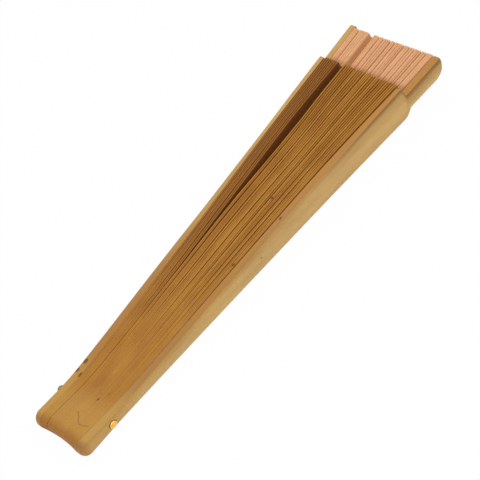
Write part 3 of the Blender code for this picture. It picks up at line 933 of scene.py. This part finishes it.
class LeafShape:
    """Where the leaf's pleats run, from the sticks and guards."""

    def __init__(self, sizes):
        self.sizes = sizes
        self.left = GuardShape(sizes, "left_guard")
        self.right = GuardShape(sizes, "right_guard")

    def end(self, k):
        """X of a pleat's far end: the leaf stops a little shorter beside the left guard."""
        return TIP - mix(*LEAF_SHORT, k / INTERVALS)

    def high(self, x):
        """Height where a glued panel ends and its ridge starts."""
        return np.polyval(RIDGE_LINE, x) - RIDGE_HEIGHT

    def low(self, x):
        """Height where a panel ends and its foot starts."""
        return self.high(x) + RIDGE_HEIGHT + GLUE_OFFSET - self.sizes.pleat_depth

    def panel(self, k, x):
        """Y of the k-th glued panel: 0 on the left guard, then one on each stick, then the right guard."""
        if k == 0:
            return self.left.inner(x) - GUARD_GLUE_OFFSET
        if k == INTERVALS:
            return self.right.inner(x) + GUARD_GLUE_OFFSET
        stick = STICKS[k - 1]
        return middle_of(stick, x) + pushed_aside(stick, x, self.sizes) - GLUE_OFFSET

    def glued(self, k, x):
        """Section of a glued panel, bottom to top."""
        y = self.panel(k, x)
        low, high = self.low(x), self.high(x)
        return [(y, mix(low, high, j / 6)) for j in range(7)]

    def free(self, k, x):
        """Section of a free panel: over the ridge, down, and under the next stick's rib."""
        top = self.panel(k, x)
        bottom = self.panel(k + 1, x)
        foot_radius = GLUE_OFFSET if k < INTERVALS - 1 else GUARD_GLUE_OFFSET
        valley = min(self.sizes.valley_width * VALLEYS.get(k + 1, 1.0), (top - bottom) * 0.6)
        if k == GAP_AFTER:
            return self.over_gap(top, bottom, foot_radius, x)
        half = (top - bottom - valley) / 2
        points = self.crown(top - half, half, x)
        points += self.panel_down(top - 2 * half, bottom + 2 * foot_radius, x)
        return points + self.foot(bottom, foot_radius, x)

    def crown(self, middle, half, x):
        """A flattened half round over a ridge."""
        return half_round(middle, half, self.high(x), CROWN_HEIGHT)

    def panel_down(self, top, foot, x):
        """The straight way down between a ridge and a foot."""
        return [(mix(top, foot, j / 10), mix(self.high(x), self.low(x), j / 10)) for j in range(1, 10)]

    def foot(self, bottom, radius, x):
        """A half round under a rib."""
        return half_round(bottom + radius, radius, self.low(x), -radius)

    def over_gap(self, top, bottom, foot_radius, x):
        """The free panel over the wide gap: a thin ridge, a shallow trough, and one broad ridge more."""
        high = self.high(x)
        points = [(top, high), (top - 0.12 * MM, high + 0.25 * MM), (top - 0.32 * MM, high + 0.2 * MM)]
        trough = (top - 0.4 * MM, bottom + 0.55 * MM)
        points += [(mix(*trough, share), high - TROUGH_DEPTH * (4 * share * (1 - share)) ** 0.5)
                   for share in (j / 6 for j in range(7))]
        points += half_round(bottom + 0.35 * MM, 0.2 * MM, high, CROWN_HEIGHT, 4)[1:]
        points += self.panel_down(bottom + 0.2 * MM, bottom + 2 * foot_radius, x)
        return points + self.foot(bottom, foot_radius, x)


def length_of(section):
    """Length of the line through a section's points."""
    return sum(math.dist(a, b) for a, b in zip(section, section[1:]))


def sheet_of(name, section, start, end, cloth, steps=12):
    """A grid whose rows follow a section that changes along the fan, given the cloth's thickness."""
    across = len(section(start))
    bpy.ops.mesh.primitive_grid_add(x_subdivisions=steps, y_subdivisions=across - 1, size=1)
    sheet = bpy.context.object
    for corner in sheet.data.vertices:
        x = mix(start, end, corner.co.x + 0.5)
        y, z = section(x)[round((corner.co.y + 0.5) * (across - 1))]
        corner.co = (x, y, z)
    apply_modifier(sheet, "SOLIDIFY", thickness=cloth, offset=0.0)
    return sheet


def add_cloth(name, section, k, leaf, material):
    """Adds one piece of the leaf, from its section, and returns it with its length."""
    piece = sheet_of(name, section, LEAF_START, leaf.end(k), leaf.sizes.cloth)
    settle(piece, name, material)
    shade(piece, 50)
    set_depths(piece, lambda x: (leaf.low(x), leaf.high(x) + RIDGE_HEIGHT))
    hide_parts("leaf")
    return piece, leaf.end(k) - LEAF_START


def inverse_ease(share):
    """The way along an eased curve at which it has done this share."""
    low, high = 0.0, 1.0
    for _ in range(50):
        middle = (low + high) / 2
        if eased(middle) < share:
            low = middle
        else:
            high = middle
    return (low + high) / 2


def share_opening(piece, k, leaf):
    """Works out where a free panel's top and foot lie along its depth, which nothing then uses, and puts
    the piece's place into its mesh.
    """
    start, end = LEAF_START, TIP
    top = Vector((start, 0, leaf.high(start)))
    ridge = Vector((end, 0, leaf.high(end))) - top
    down = Vector((ridge.z, 0, -ridge.x)).normalized()
    depth = (Vector((start, 0, leaf.low(start))) - top).dot(down)
    from_way, to_way = (inverse_ease(n / INTERVALS) for n in (k, k + 1))
    length = depth / (to_way - from_way)
    first = top - down * (from_way * length)
    first + down * length
    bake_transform(piece)


class FAN_OT_leaf(bpy.types.Operator):
    """Model the leaf's pleats: panels glued to the sticks, and free panels between them"""

    bl_idname = "fan.leaf"
    bl_label = "Leaf"

    def execute(self, context):
        leaf = LeafShape(context.scene.fan_sizes)
        cloth = leaf_cloth(context.scene.fan_colours)
        carriers = ["left_guard", *STICKS, "right_guard"]
        for k, carrier in enumerate(carriers):
            piece, length = add_cloth(f"leaf_glued_{k:02d}", lambda x: leaf.glued(k, x), k, leaf, cloth)
            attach(piece, carrier)
            width = leaf.high(LEAF_START) - leaf.low(LEAF_START)
        for k in range(INTERVALS):
            piece, length = add_cloth(f"leaf_free_{k:02d}", lambda x: leaf.free(k, x), k, leaf, cloth)
            set_attribute(piece, "wide_fold", [float(k == GAP_AFTER)] * len(piece.data.vertices))
            share_opening(piece, k, leaf)
            width = length_of(leaf.free(k, (LEAF_START + TIP) / 2))
            carriers[k + 1]
        return {"FINISHED"}


def turned(profile, steps=48):
    """A turned piece about the rivet's axis, from the (radius, y) points of its profile."""
    turns = [2 * math.pi * k / steps for k in range(steps)]
    circle = [(math.cos(turn), math.sin(turn)) for turn in turns]
    return lofted([[(RIVET.x + radius * along, y, RIVET.z + radius * up) for along, up in circle]
                   for radius, y in profile])


def dome(radius, seat, height, steps=8, end=84):
    """Rings of a dome that stands out from a seat along Y, up to an end in degrees near its pole."""
    angles = [math.radians(end) * k / steps for k in range(steps + 1)]
    return [(radius * math.cos(angle), seat + height * math.sin(angle)) for angle in angles]


PIN_RADIUS = 1.2 * MM
HEAD_RADIUS = 1.85 * MM
HEAD_HEIGHT = 1.45 * MM
HEAD_DOME = 0.85 * MM
CAP_BORE = 1.35 * MM
CAP_BORE_DEPTH = 0.9 * MM
# Height of the cap's straight wall, and how far the cap stands out past the frame's plain one, beside
# it and above it
CAP_WALL = 1.1 * MM
CAP_WIDER = 0.12 * MM
CAP_HIGHER = 0.4 * MM


class FAN_OT_rivet(bpy.types.Operator):
    """Model the brass rivet and the dull cap on its other end"""

    bl_idname = "fan.rivet"
    bl_label = "Rivet"

    def execute(self, context):
        colours = context.scene.fan_colours
        low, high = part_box("rivet")
        seat = low.y + HEAD_HEIGHT
        pin = [(PIN_RADIUS * 0.8, high.y), (PIN_RADIUS, high.y - 0.25 * MM), (PIN_RADIUS, seat),
               (HEAD_RADIUS, seat), *dome(HEAD_RADIUS, low.y + HEAD_DOME, -HEAD_DOME)]
        rivet = settle(turned(pin), "rivet_brass_pin", rivet_brass(colours))
        shade(rivet, 40)
        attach(rivet, "left_guard")
        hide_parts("rivet")
        low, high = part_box("rivet_cap")
        radius = (high.x - low.x) / 2 + CAP_WIDER
        wall = low.y + CAP_WALL
        bottom = low.y + CAP_BORE_DEPTH
        shell = [(CAP_BORE * 0.3, bottom), (CAP_BORE, bottom), (CAP_BORE, low.y), (radius, low.y),
                 *dome(radius, wall, high.y + CAP_HIGHER - wall)]
        cap = settle(turned(shell), "rivet_cap_metal", cap_metal(colours))
        shade(cap, 40)
        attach(cap, "left_guard")
        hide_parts("rivet_cap")
        return {"FINISHED"}


def add_lamp(name, place, size, power):
    bpy.ops.object.light_add(type="AREA", location=place)
    lamp = bpy.context.object
    lamp.name = name
    lamp.rotation_euler = (-Vector(place)).to_track_quat("-Z", "Y").to_euler()
    lamp.data.shape = "DISK"
    lamp.data.size = size
    lamp.data.energy = power


def add_world(strength):
    """Even light all round that looks white to the camera and in reflections."""
    sky = Recipe(bpy.data.worlds.new("even daylight"), "Background")
    bpy.context.scene.world = sky.owner
    camera, glossy = sky.rays("Is Camera Ray", "Is Glossy Ray")
    seen = camera.maths("MAXIMUM", camera, glossy)
    sky.feed(color=(1, 1, 1, 1), strength=seen * (1 - strength) + strength)


class FAN_OT_stage(bpy.types.Operator):
    """Set up the white floor, the soft light and the camera"""

    bl_idname = "fan.stage"
    bl_label = "Stage"

    def execute(self, context):
        stage = context.scene.fan_stage
        bpy.ops.mesh.primitive_grid_add(x_subdivisions=4, y_subdivisions=4, size=stage.floor_size,
                                        location=(0, 0, -0.1 * MM))
        floor = settle(bpy.context.object, "floor", white_floor())
        floor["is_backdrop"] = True
        add_world(stage.daylight)
        for lamp in LAMPS:
            add_lamp(*lamp)
        bpy.ops.object.camera_add(location=stage.camera_place, rotation=stage.camera_turn)
        camera = bpy.context.object
        camera.name = "camera"
        camera.data.sensor_width = 36.0
        camera.data.lens = stage.camera_lens
        camera.data.clip_start = 0.01
        context.scene.camera = camera
        context.scene.view_settings.view_transform = "Standard"
        return {"FINISHED"}


class FAN_PT_panel(bpy.types.Panel):
    """The fan's sizes, colours and steps"""

    bl_idname = "FAN_PT_panel"
    bl_label = "Folding Fan"
    bl_space_type = "VIEW_3D"
    bl_region_type = "UI"
    bl_category = "Fan"

    def draw(self, context):
        for group in (context.scene.fan_sizes, context.scene.fan_colours, context.scene.fan_stage):
            column = self.layout.column(align=True)
            for name in group.__annotations__:
                column.prop(group, name)
        for step in STEPS:
            self.layout.operator(step.bl_idname)


GROUPS = {"fan_sizes": FanSizes, "fan_colours": FanColours, "fan_stage": FanStage}
STEPS = (FAN_OT_stage, FAN_OT_guards, FAN_OT_sticks, FAN_OT_leaf, FAN_OT_rivet)


def register():
    for kind in (*GROUPS.values(), *STEPS, FAN_PT_panel):
        bpy.utils.register_class(kind)
    for name, group in GROUPS.items():
        setattr(bpy.types.Scene, name, PointerProperty(type=group))


def unregister():
    for name in GROUPS:
        delattr(bpy.types.Scene, name)
    for kind in reversed((*GROUPS.values(), *STEPS, FAN_PT_panel)):
        bpy.utils.unregister_class(kind)


def main():
    register()
    bpy.ops.fan.stage()
    bpy.ops.fan.guards()
    bpy.ops.fan.sticks()
    bpy.ops.fan.leaf()
    bpy.ops.fan.rivet()
    boxes = {"cad": CAD_BOX, "visual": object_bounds()}
    boxes = {name: [list(corner) for corner in box] for name, box in boxes.items()}


if __name__ == "__main__":
    main()
